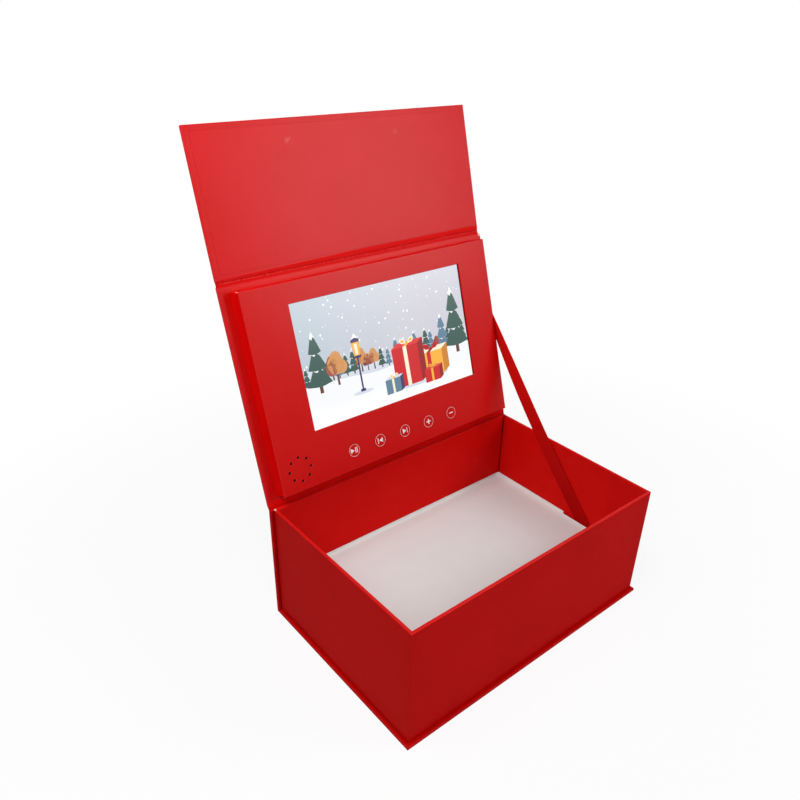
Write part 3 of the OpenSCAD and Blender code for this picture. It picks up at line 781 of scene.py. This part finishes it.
class Picture:
    """Collects flat shapes in picture coordinates, each clipped to the screen."""

    def __init__(self):
        self.points, self.faces, self.index, self.materials = [], [], [], []

    def colour(self, name, *looks):
        self.materials.append(display(f"lcd_{name}", *looks))
        return len(self.materials) - 1

    def clip(self, outline):
        for axis, limit, keep in ((0, 0, 1), (0, PICTURE_W, -1), (1, 0, 1), (1, PICTURE_L, -1)):
            kept = []
            for a, b in zip(outline, outline[1:] + outline[:1]):
                in_a, in_b = keep * (a[axis] - limit) >= 0, keep * (b[axis] - limit) >= 0
                if in_a:
                    kept.append(a)
                if in_a != in_b:
                    share = (limit - a[axis]) / (b[axis] - a[axis])
                    kept.append(tuple(a[k] + share * (b[k] - a[k]) for k in (0, 1)))
            outline = kept
            if not outline:
                break
        return outline

    def shape(self, outline, colour, layer):
        outline = self.clip(list(outline))
        if len(outline) < 3:
            return
        area = sum(a[0] * b[1] - b[0] * a[1] for a, b in zip(outline, outline[1:] + outline[:1]))
        if area < 0:
            outline.reverse()
        start = len(self.points)
        height = PICTURE_LOW + layer * LAYER
        self.points += [(PICTURE_X + x, PICTURE_S + y, height) for x, y in outline]
        self.faces.append(tuple(range(start, len(self.points))))
        self.index.append(colour)

    def disc(self, x, y, radius, colour, layer, steps, flat=1.0):
        self.shape(circle(x, y, radius, steps, flat), colour, layer)

    def hill(self, height, wave, phase, colour, layer):
        """A strip of ground up to a gently waving top."""
        columns = 40
        top = []
        for i in range(columns + 1):
            rise = math.sin(phase + i * 0.21) + 0.4 * math.sin(2.3 * phase + i * 0.5)
            top.append((PICTURE_W * i / columns, height + wave * rise))
        for a, b in zip(top, top[1:]):
            self.shape([(a[0], 0), (b[0], 0), b, a], colour, layer)

    def scaled(self, x, y, wide, high, outline, colour, layer):
        """A shape given in shares of a width and a height."""
        self.shape([(x + wide * a, y + high * b) for a, b in outline], colour, layer)

    def fir(self, x, y, height, dark, snow, trunk, layer):
        """A fir of three tiers, each with a cap of snow."""
        width = height * 0.46
        self.scaled(x, y, width, height, box(-0.07, 0, 0.07, 0.2), trunk, layer)
        for tier in range(3):
            low = y + height * (0.14 + 0.26 * tier)
            reach = width * (0.5 - 0.12 * tier)
            tip = (0, 0.42 - 0.04 * tier)
            needles = [(-1, 0), (-0.3, -0.03), (0.3, -0.03), (1, 0), tip]
            cap = [(-0.42, 0.24), (-0.1, 0.2), (0.16, 0.25), (0.42, 0.21), tip]
            self.scaled(x, low, reach, height, needles, dark, layer + 1 + 2 * tier)
            self.scaled(x, low, reach, height, cap, snow, layer + 2 + 2 * tier)

    def tree(self, x, y, height, crown, shade, trunk, layer):
        """A round tree with a crown of overlapping discs."""
        stem = [(-0.04, 0), (0.04, 0), (0.02, 0.6), (-0.02, 0.6)]
        self.scaled(x, y, height, height, stem, trunk, layer)
        leaves = ((0, 0.62, 0.3, crown), (-0.17, 0.5, 0.2, shade), (0.18, 0.52, 0.21, crown),
                  (0.02, 0.82, 0.2, crown), (-0.08, 0.68, 0.12, shade))
        for dx, dy, size, tone in leaves:
            self.disc(x + dx * height, y + dy * height, size * height, tone, layer + 1, 14)

    def gift(self, x, y, width, height, front, side, ribbon, layer):
        """A box with a ribbon and a bow, seen a little from its right and from above."""
        right, top = x + width, y + height
        back, rise = width * 0.22, width * 0.132
        left_band, right_band = x + width * 0.43, x + width * 0.57

        def set_back(ax, ay, bx, by):
            """A face that runs back from one edge."""
            return [(ax, ay), (bx, by), (bx + back, by + rise), (ax + back, ay + rise)]

        self.shape(box(x, y, right, top), front, layer)
        self.shape(set_back(right, top, right, y), side, layer)
        self.shape(set_back(x, top, right, top), ribbon[2], layer)
        self.shape(box(left_band, y, right_band, top), ribbon[0], layer + 1)
        self.shape(set_back(left_band, top, right_band, top), ribbon[1], layer + 1)
        knot = (x + (width + back) / 2, top + rise / 2)
        loop = [(0, 0), (0.1, 0.15), (0.24, 0.2), (0.28, 0.1), (0.2, 0.02)]
        hollow = [(0.08, 0.06), (0.13, 0.12), (0.21, 0.14), (0.22, 0.09), (0.17, 0.045)]
        for way in (-1, 1):
            self.scaled(*knot, way * width, width, loop, ribbon[0], layer + 2)
            self.scaled(*knot, way * width, width, hollow, ribbon[1], layer + 3)
        self.disc(knot[0], knot[1] + width * 0.02, width * 0.05, ribbon[1], layer + 4, 12)


def screen_picture():
    p = Picture()
    sky = p.colour("sky", (189, 201, 211), (207, 206, 216), "X", (-60, 20))
    far = p.colour("far_hill", (214, 222, 234))
    snow = p.colour("snow", (246, 247, 250), (255, 255, 255), "Y", (60, 45))
    shade = p.colour("snow_shade", (214, 220, 232))
    flake = p.colour("flake", (252, 253, 255))
    green = p.colour("fir", (52, 88, 78))
    blue = p.colour("blue_fir", (92, 128, 152))
    bark = p.colour("bark", (96, 58, 46))
    ochre = p.colour("ochre", (214, 152, 92))
    russet = p.colour("russet", (158, 84, 72))
    plum = p.colour("plum", (122, 62, 62))
    red = p.colour("red", (206, 8, 14))
    red_side = p.colour("red_side", (150, 4, 10))
    red_top = p.colour("red_top", (226, 50, 48))
    gold = p.colour("gold", (248, 178, 58))
    gold_dark = p.colour("gold_dark", (206, 128, 30))
    cream = p.colour("cream", (250, 240, 214))
    indigo = p.colour("indigo", (62, 52, 104))

    rng = random.Random(11)
    p.shape(box(0, 0, PICTURE_W, PICTURE_L), sky, 0)
    p.hill(38, 3.2, 0.6, far, 1)
    p.hill(33, 2.6, 2.4, shade, 2)
    # Distant wood along the foot of the hills
    x = 2.0
    while x < PICTURE_W - 1:
        height = rng.uniform(10, 19)
        ground = 29 + 1.5 * math.sin(x * 0.05)
        kind = rng.random()
        if kind < 0.36:
            crown, shadow = rng.choice(((ochre, russet), (russet, plum), (russet, ochre)))
            p.tree(x, ground, height, crown, shadow, bark, 4)
        elif kind < 0.7:
            p.fir(x, ground, height * 1.1, green, flake, bark, 5)
        else:
            p.fir(x, ground, height * 1.15, blue, flake, bark, 5)
        x += rng.uniform(4.6, 8.2)
    p.hill(29, 1.4, 1.3, snow, 14)
    # Taller trees that frame the view
    p.fir(12, 24, 44, green, flake, bark, 16)
    p.fir(141, 22, 52, green, flake, bark, 16)
    p.fir(127, 25, 31, blue, flake, bark, 15)
    p.tree(27, 26, 24, ochre, russet, bark, 15)
    # A lantern on a post
    p.disc(46, 15.5, 9, shade, 15, 20, flat=0.16)
    for low, high, half in ((16, 42, 0.75), (16, 18, 2.2), (41, 42.6, 3.4), (52.4, 54, 3.6)):
        p.shape(box(46 - half, low, 46 + half, high), indigo, 17)
    p.shape([(43.4, 42.6), (48.6, 42.6), (49.4, 52.4), (42.6, 52.4)], gold, 17)
    p.shape([(44.9, 43.4), (47.1, 43.4), (47.5, 51.4), (44.5, 51.4)], cream, 18)
    p.shape([(42.6, 54), (49.4, 54), (46, 58.4)], indigo, 17)
    p.shape([(42.9, 54.6), (46, 55.6), (49.1, 54.6), (46, 58.9)], flake, 18)
    # Wrapped presents on the snow
    p.disc(98, 11, 30, shade, 15, 32, flat=0.14)
    p.gift(97, 10, 27, 19, gold, gold_dark, (red, red_side, cream), 22)
    p.gift(76, 9, 25, 30, red, red_side, (cream, gold, red_top), 28)
    p.gift(66, 7, 14, 11, blue, indigo, (cream, gold, shade), 34)
    p.gift(104, 6, 15, 10, red, red_side, (gold, gold_dark, red_top), 34)
    # Falling snow
    for _ in range(120):
        size = rng.choice((0.28, 0.34, 0.42, 0.55, 0.8))
        p.disc(rng.uniform(1, PICTURE_W - 1), rng.uniform(38, PICTURE_L - 1), size, flake, 3, 8)

    made = piece("screen_picture", p.points, p.faces, IN_MODULE, "lid", p.materials, "screen_glass")
    made.data.polygons.foreach_set("material_index", p.index)


screen_picture()


# Paper over the hinges, and the stay strap

# How far the papers' ends stand out of the panels that they are glued to
PROUD = 0.03


def ribbon_faces(rows, count):
    """Faces of a ribbon, closed at its ends, through rows of points. Each row has the points of one
    side and then those of the other."""
    order = list(range(count)) + list(reversed(range(count, 2 * count)))
    faces = []
    for row in range(rows - 1):
        low, high = 2 * count * row, 2 * count * (row + 1)
        for a, b in zip(order, order[1:] + order[:1]):
            faces.append((low + a, high + a, high + b, low + b))
    return faces + [tuple(order), tuple(high + i for i in reversed(order))]


def strip(name, line_at, width, thick, columns, material, slot, replaced,
          middle=0.0, wear_at=None, shade_at=None):
    """A bent strip of paper across a hinge: a line in the YZ plane for each share of the way from left
    to right, joined up along X and given a thickness."""
    count = len(line_at(0.0))
    plain = [0.0] * count
    points, wear, seam_and_shade = [], [], []
    for column in range(columns + 1):
        x = middle - width / 2 + width * column / columns
        line = line_at(column / columns)
        normals = []
        for i in range(count):
            a, b = line[max(i - 1, 0)], line[min(i + 1, count - 1)]
            along = Vector((b[0] - a[0], b[1] - a[1])).normalized()
            normals.append((-along.y, along.x))
        for side in (0, 1):
            points += [(x, y + side * thick * ny, z + side * thick * nz)
                       for (y, z), (ny, nz) in zip(line, normals)]
            wear += wear_at or plain
            seam_and_shade += shade_at or plain
    made = piece(name, points, ribbon_faces(columns + 1, count), IN_WORLD, None, [material], slot,
                 {"wear": wear, "seam_and_shade": seam_and_shade})
    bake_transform(made)
    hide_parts(replaced)
    soften(made, 50)
    return made


def at_lid(s, d):
    place = IN_MODULE @ Vector((0, s * MM, d * MM)) / MM
    return (place.y, place.z)


def at_flap(along, d):
    """A place on the flap: along it from the crease, d out of its inner side."""
    place = ON_FLAP @ Vector((0, (along - FLAP_START) * MM, (SLAB + d) * MM)) / MM
    return (place.y, place.z)


def curve(*points):
    """A smooth line through points, a cubic between each two with its slopes from their neighbours."""
    line = []
    ends = [points[0], *points, points[-1]]
    for i in range(1, len(ends) - 2):
        a, b, c, d = (Vector(ends[i + k]) for k in (-1, 0, 1, 2))
        square, cube = 2 * a - 5 * b + 4 * c - d, 3 * b - a - 3 * c + d
        for step in range(CURVE_STEPS):
            t = step / CURVE_STEPS
            line.append(tuple(0.5 * (2 * b + (c - a) * t + square * t * t + cube * t ** 3)))
    line.append(tuple(points[-1]))
    return line


def lid_hinge_papers():
    """The papers across the lid's hinge: one outside, and one inside whose fold is darkened low down with
    painted shade.
    """
    outside = curve(
        (PIVOT_Y + PROUD, 90.8), (PIVOT_Y + PROUD, 92.9), (PIVOT_Y + 0.7, 94.3),
        (PIVOT_Y + 1.85, 95.25), at_lid(1.4, -SLAB - PROUD), at_lid(3.6, -SLAB - PROUD),
    )
    strip("lid_hinge_fold", lambda share: outside, CASE_W - 0.6, -0.15, 8,
          wrap_paper, "wrap_paper", "lid_hinge_paper")
    inside = curve(
        at_lid(3.2, PROUD), at_lid(1.6, PROUD), at_lid(0.5, 0.0), (77.0, 94.9), (76.75, 93.9),
        (76.0, 93.42), (75.38, 93.4),
    )
    # Painted shade, darker towards the bottom of the fold
    groove = [max(0.0, min(0.79, (95.7 - z) / 0.8)) for _, z in inside]
    strip("lid_hinge_liner_fold", lambda share: inside, CASE_W - 0.8, 0.15, 8,
          lit_fold_paper, "liner_paper", "lid_hinge_liner",
          shade_at=groove)


lid_hinge_papers()


def flap_hinge_papers():
    """The papers across the flap's crease, one inside with a worn ridge and one outside."""
    lid_end = LID_L + PIVOT_Y - LID_REAR_Y
    width = FLAP_W - 0.8

    def gutter(share):
        """The inner paper, wider on the flap towards the right, with a little waviness."""
        reach = 1.3 + 2.4 * min(1.0, 2 * share)
        wave = 0.12 * math.sin(31 * share) + 0.08 * math.sin(77 * share + 1)
        return curve(
            at_lid(lid_end - 5.2, PROUD), at_lid(lid_end - 1.6, 0.0), at_lid(lid_end + 0.3, -0.3),
            at_lid(lid_end + 1.7 + wave, -0.5), at_flap(0.3, -0.34), at_flap(1.1, -0.08),
            at_flap(reach, PROUD),
        )

    count = 6 * CURVE_STEPS + 1
    ridge = 3 * CURVE_STEPS
    worn = [0.5 if ridge <= i <= ridge + 2 else 0.0 for i in range(count)]
    fold = strip("flap_gutter_fold", gutter, width, -0.15, 64,
                 gutter_paper, "liner_paper",
                 "flap_hinge_liner", FLAP_X, worn)
    fold.data.materials.append(liner_paper)
    fold.data.materials.append(lit_fold_paper)
    # The inner paper's faces on the lid take the liner's paper, and those on the flap the brighter copy
    # that paints light
    on_lid, on_flap = range(0, CURVE_STEPS + 2), range(4 * CURVE_STEPS, 6 * CURVE_STEPS)
    for face in fold.data.polygons:
        place = face.index % (2 * count)
        if place in on_lid:
            face.material_index = 1
        elif place in on_flap:
            face.material_index = 2
    outside = curve(
        at_lid(lid_end - 3.2, -SLAB - PROUD), at_lid(lid_end - 0.8, -SLAB - PROUD),
        at_lid(lid_end + 1.2, -SLAB + 0.25), at_flap(0.2, -SLAB + 0.1), at_flap(1.6, -SLAB - PROUD),
        at_flap(3.6, -SLAB - PROUD),
    )
    strip("flap_hinge_fold", lambda share: outside, width, 0.15, 8,
          wrap_paper, "wrap_paper",
          "flap_hinge_paper", FLAP_X)


flap_hinge_papers()


def strap():
    """The ribbon from under the platform up to the lid, with a little sag, a shallow cup across it and a
    twist in its upper half. Its end is cut along the lid, just inside the lid's board."""
    top = Vector(at_lid(STRAP_LID_S, 0.3))
    low = Vector(STRAP_LOW)
    run = top - low
    ahead = run.normalized()
    across = Vector((-run.y, run.x)).normalized()
    end_face = Vector(at_lid(STRAP_LID_S, -0.9))
    off_lid = Vector(at_lid(0, 1)) - Vector(at_lid(0, 0))
    end_twist = math.radians(27.5)
    half_thick = STRAP_T / 2 - 0.08
    bow_depth, cup_depth = 0.5, 0.06
    along_steps, across_steps = 48, 6
    points = []
    for i in range(along_steps + 1):
        t = i / along_steps
        twist = -end_twist * max(0.0, 2 * t - 1) ** 1.85
        bow = bow_depth * math.sin(math.pi * t) ** 2
        middle = low + run * t - across * STRAP_SAG * math.sin(math.pi * t)
        for side in (-1, 1):
            for k in range(across_steps + 1):
                v = (k / across_steps - 0.5) * STRAP_W
                cup = cup_depth * (1 - (2 * v / STRAP_W) ** 2)
                x = STRAP_X + side * half_thick + v * math.sin(twist) - bow - cup
                end = top + across * v * math.cos(end_twist)
                to_face = (end_face - end).dot(off_lid) / ahead.dot(off_lid)
                place = middle + across * v * math.cos(twist) + ahead * to_face * t ** 8
                points.append((x, place.x, place.y))
    faces = ribbon_faces(along_steps + 1, across_steps + 1)
    made = piece("strap_ribbon", points, faces, IN_WORLD, None, [strap_paper], "strap")
    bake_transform(made)
    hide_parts("stay_strap")
    soften(made, 60)
    half_tab = 7.6
    tab = box(99, STRAP_LID_S - half_tab, 111.7, STRAP_LID_S + half_tab)
    piece("strap_tab", *prisms([tab], 0.05, 0.5), IN_MODULE, "lid", [strap_paper], "strap",
          replaces=["strap_lid_tab"])


strap()


# Stage, light and camera

def stage():
    """A pale floor that catches light and shadow, and fades to white as it is seen further away."""
    m = Nodes("floor")
    m.set(Base_Color=srgb(250, 250, 250), Roughness=0.9, Specular_IOR_Level=0.0)
    distance = m.vector("LENGTH", m.add("ShaderNodeTexCoord").outputs["Object"]).outputs["Value"]
    near_white = m.ranged(distance, 0.2, 0.5, 0.88, 1.0)
    far_white = m.ranged(distance, 0.3, 1.0, 0.3, 1.0)
    share = m.math("MAXIMUM", m.math("MULTIPLY", m.rays("Camera"), near_white),
                   m.math("MULTIPLY", m.rays("Glossy", "Transmission"), far_white))
    white = m.add("ShaderNodeEmission", Strength=1.0)
    surface = m.blend(share, m.shader.outputs[0], white.outputs[0])
    m.join(surface, m.tree.nodes["Material Output"].inputs["Surface"])
    reach = 40 / MM
    corners = [(x, y, 0) for x, y in box(-reach, -reach, reach, reach)]
    floor = placed("floor", mesh_of("floor", corners, [(0, 1, 2, 3)], [m.owner]))
    floor.location.z = -0.0001


stage()


def world():
    """A low even light, with a white backdrop for what is seen directly or in a reflection."""
    m = Nodes("world", "worlds")
    m.tree.nodes.clear()
    light = m.add("ShaderNodeBackground", Color=WHITE, Strength=0.02)
    backdrop = m.add("ShaderNodeBackground", Color=WHITE, Strength=1.0)
    seen = m.rays("Camera", "Glossy", "Transmission")
    output = m.add("ShaderNodeOutputWorld")
    m.join(m.blend(seen, light.outputs[0], backdrop.outputs[0]), output.inputs["Surface"])
    bpy.context.scene.world = m.owner


world()


def lamp(name, azimuth, elevation, distance, aim, size, power):
    """A soft square lamp. Its azimuth is measured from the front towards the right, from its aim."""
    across, up = math.radians(azimuth), math.radians(elevation)
    away = Vector((math.sin(across) * math.cos(up), -math.cos(across) * math.cos(up), math.sin(up)))
    data = bpy.data.lights.new(name, "AREA")
    data.shape = "SQUARE"
    data.size = size
    data.energy = power
    made = placed(name, data)
    made.location = Vector(aim) + distance * away
    made.rotation_euler = (-away).to_track_quat("-Z", "Y").to_euler()


TOP_AIM, MIDDLE_AIM, LOW_AIM = (0, 0.12, 0.3), (0, 0.1, 0.22), (0, 0.05, 0.2)
lamp("key", 36, 16, 0.75, TOP_AIM, 0.4, 2.37)
lamp("key_far", 36, 18, 1.2, MIDDLE_AIM, 0.6, 1.0)
lamp("left", -80, 60, 0.7, LOW_AIM, 0.4, 3.4)
lamp("left_near", -96, 36, 0.28, (-0.1, 0.12, 0.26), 0.15, 0.19)
lamp("left_front", -45, 35, 0.7, LOW_AIM, 0.4, 1.37)
lamp("rear", 180, 20, 1.5, LOW_AIM, 0.8, 3.0)

# Camera, from a fit to the edges and corners of the photograph
PICTURE_SIZE, FOCAL_PIXELS, CENTRE_PIXELS = 800, 735.74, (411.51, 425.83)
camera_data = bpy.data.cameras.new("camera")
camera = placed("camera", camera_data)
camera_data.sensor_width = 36
camera_data.lens = camera_data.sensor_width * FOCAL_PIXELS / PICTURE_SIZE
camera_data.shift_x = 0.5 - CENTRE_PIXELS[0] / PICTURE_SIZE
camera_data.shift_y = CENTRE_PIXELS[1] / PICTURE_SIZE - 0.5
camera_data.clip_start, camera_data.clip_end = 0.01, 200
RIGHT = Vector((0.76899, -0.6388, 0.02435))
DOWN = Vector((-0.29938, -0.39352, -0.8692))
AHEAD = Vector((0.56482, 0.66112, -0.49386))
turn = Matrix((RIGHT, -DOWN, -AHEAD)).transposed().to_4x4()
camera.matrix_world = Matrix.Translation((-0.31164, -0.30067, 0.39953)) @ turn
bpy.context.scene.camera = camera
bpy.context.scene.view_settings.view_transform = "Standard"
